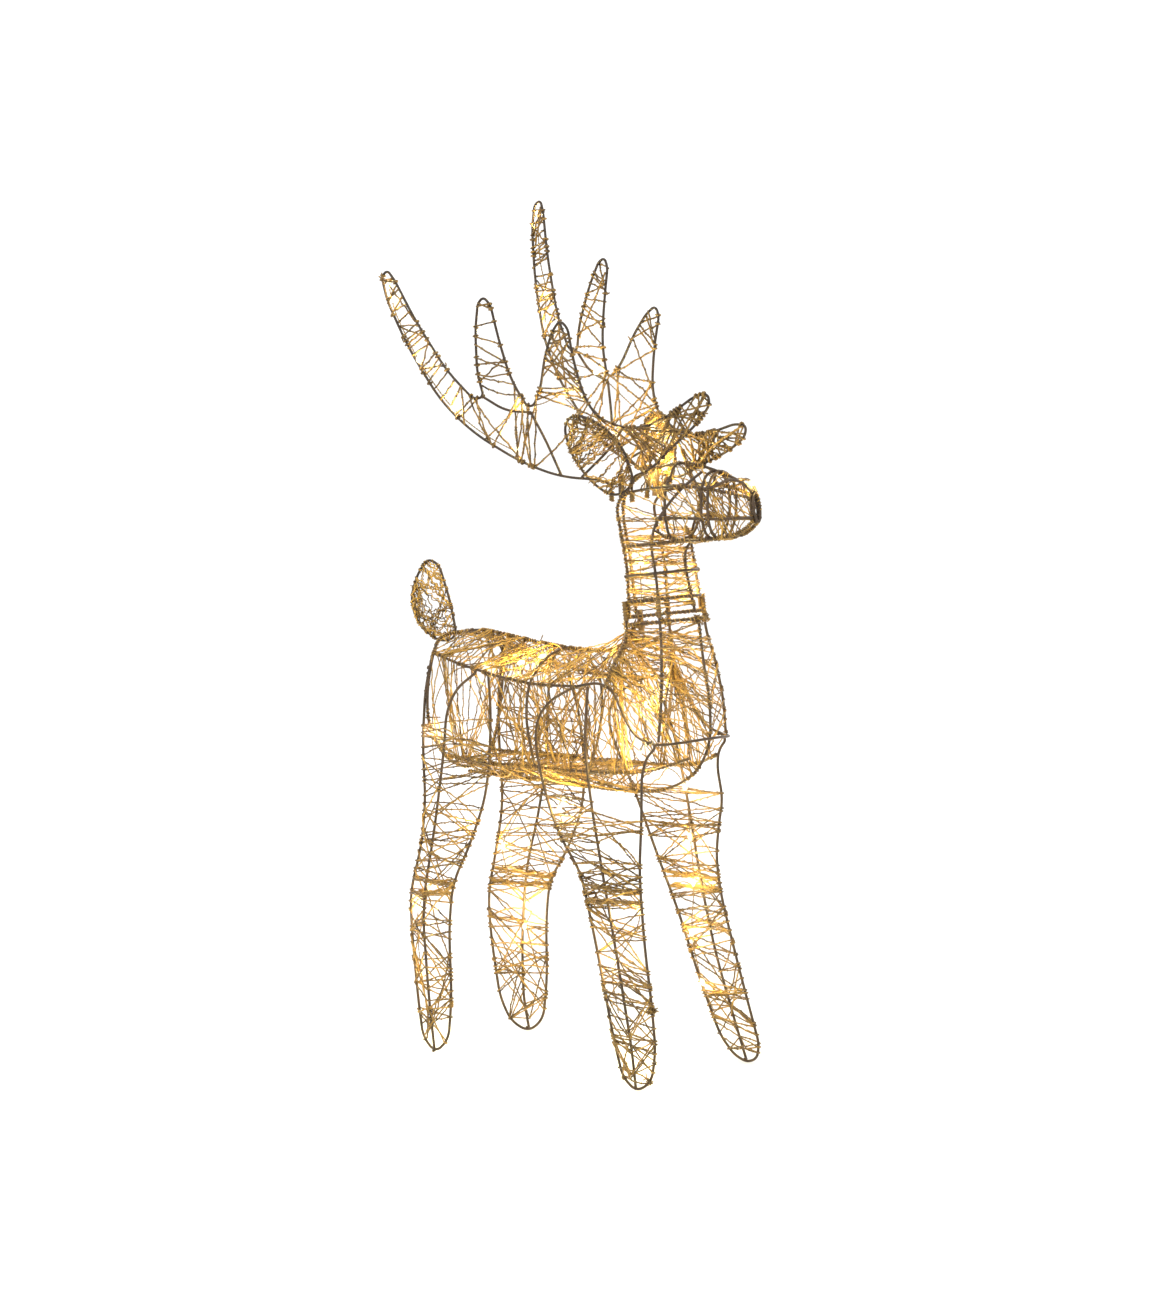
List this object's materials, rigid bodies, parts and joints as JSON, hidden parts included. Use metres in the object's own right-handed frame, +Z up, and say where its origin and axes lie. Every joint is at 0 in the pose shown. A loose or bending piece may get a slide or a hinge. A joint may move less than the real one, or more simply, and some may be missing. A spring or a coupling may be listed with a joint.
{
  "type": "light-up yard reindeer",
  "caption": "Standing reindeer of welded wire, wound with fine gold thread wire and strung with warm micro lights; the head and both antlers plug in.",
  "frame": {"origin": "on the ground, midway between the left and right feet and at the middle of the figure's length", "axes": "+X the way the reindeer faces, +Y its left side, +Z up"},
  "size_m": [0.5211, 0.2296, 0.9931],
  "materials": {
    "frame_rod": "bronze-brown lacquer, satin",
    "tine_rod": "bronze-brown lacquer, satin",
    "band_wire": "glitter bronze",
    "thread_wire": "fine glitter gold wire",
    "light_lead": "enamelled copper wire",
    "light_drop": "clear moulded drop, lit warm white",
    "connector": "moulded dark brown",
    "tie_wire": "twisted dark tie wire",
    "sleeve_tube": "bronze lacquer on tube"
  },
  "bodies": {
    "frame": {"belly_rails": "frame_rod", "body_winding": "thread_wire", "chest_hoop": "frame_rod", "keel_rod": "frame_rod", "knee_bands": "band_wire", "lead_inlet": "connector", "leg_front_left_loop": "frame_rod", "leg_front_left_outer_rod": "frame_rod", "leg_front_right_loop": "frame_rod", "leg_front_right_outer_rod": "frame_rod", "leg_rear_left_loop": "frame_rod", "leg_rear_left_outer_rod": "frame_rod", "leg_rear_right_loop": "frame_rod", "leg_rear_right_outer_rod": "frame_rod", "leg_windings_front": "thread_wire", "leg_windings_rear": "thread_wire", "light_drops_body": "light_drop", "light_string_body": "light_lead", "link_socket_body": "connector", "neck_collar": "frame_rod", "neck_posts": "frame_rod", "rump_hoop": "frame_rod", "side_rails": "frame_rod", "spine_rod": "frame_rod", "string_ties": "tie_wire", "tail_loop": "tine_rod", "tail_winding": "thread_wire", "waist_hoop": "frame_rod"},
    "head": {"crown_rod": "frame_rod", "throat_rod": "frame_rod", "temple_rods": "frame_rod", "cheek_rods": "frame_rod", "ear_loop_left": "tine_rod", "ear_loop_right": "tine_rod", "lower_cheek_rods": "frame_rod", "jaw_rods": "frame_rod", "nose_bridge_rods": "frame_rod", "brow_hoop": "frame_rod", "muzzle_hoops": "frame_rod", "muzzle_end_rings": "frame_rod", "neck_rings": "frame_rod", "head_sleeves": "sleeve_tube", "head_winding": "thread_wire", "ear_windings": "thread_wire", "antler_sockets": "sleeve_tube", "antler_link_sockets": "connector", "light_string_head": "light_lead", "light_drops_head": "light_drop", "link_plug_head": "connector"},
    "antler_left": {"antler_left_frame": "tine_rod", "antler_winding_left": "thread_wire", "light_string_antler_left": "light_lead", "light_drops_antler_left": "light_drop", "antler_link_plug_left": "connector"},
    "antler_right": {"antler_right_frame": "tine_rod", "antler_winding_right": "thread_wire", "light_string_antler_right": "light_lead", "light_drops_antler_right": "light_drop", "antler_link_plug_right": "connector"}
  },
  "joints": [
    {"name": "head_lift", "type": "slide", "parent": "frame", "child": "head", "axis": [-0.1271, 0, 0.9919], "range_m": [0, 0.03]},
    {"name": "antler_left_pull", "type": "slide", "parent": "head", "child": "antler_left", "axis": [0.0098, 0.0708, 0.9974], "range_m": [0, 0.022]},
    {"name": "antler_right_pull", "type": "slide", "parent": "head", "child": "antler_right", "axis": [0.0098, -0.0708, 0.9974], "range_m": [0, 0.022]}
  ]
}
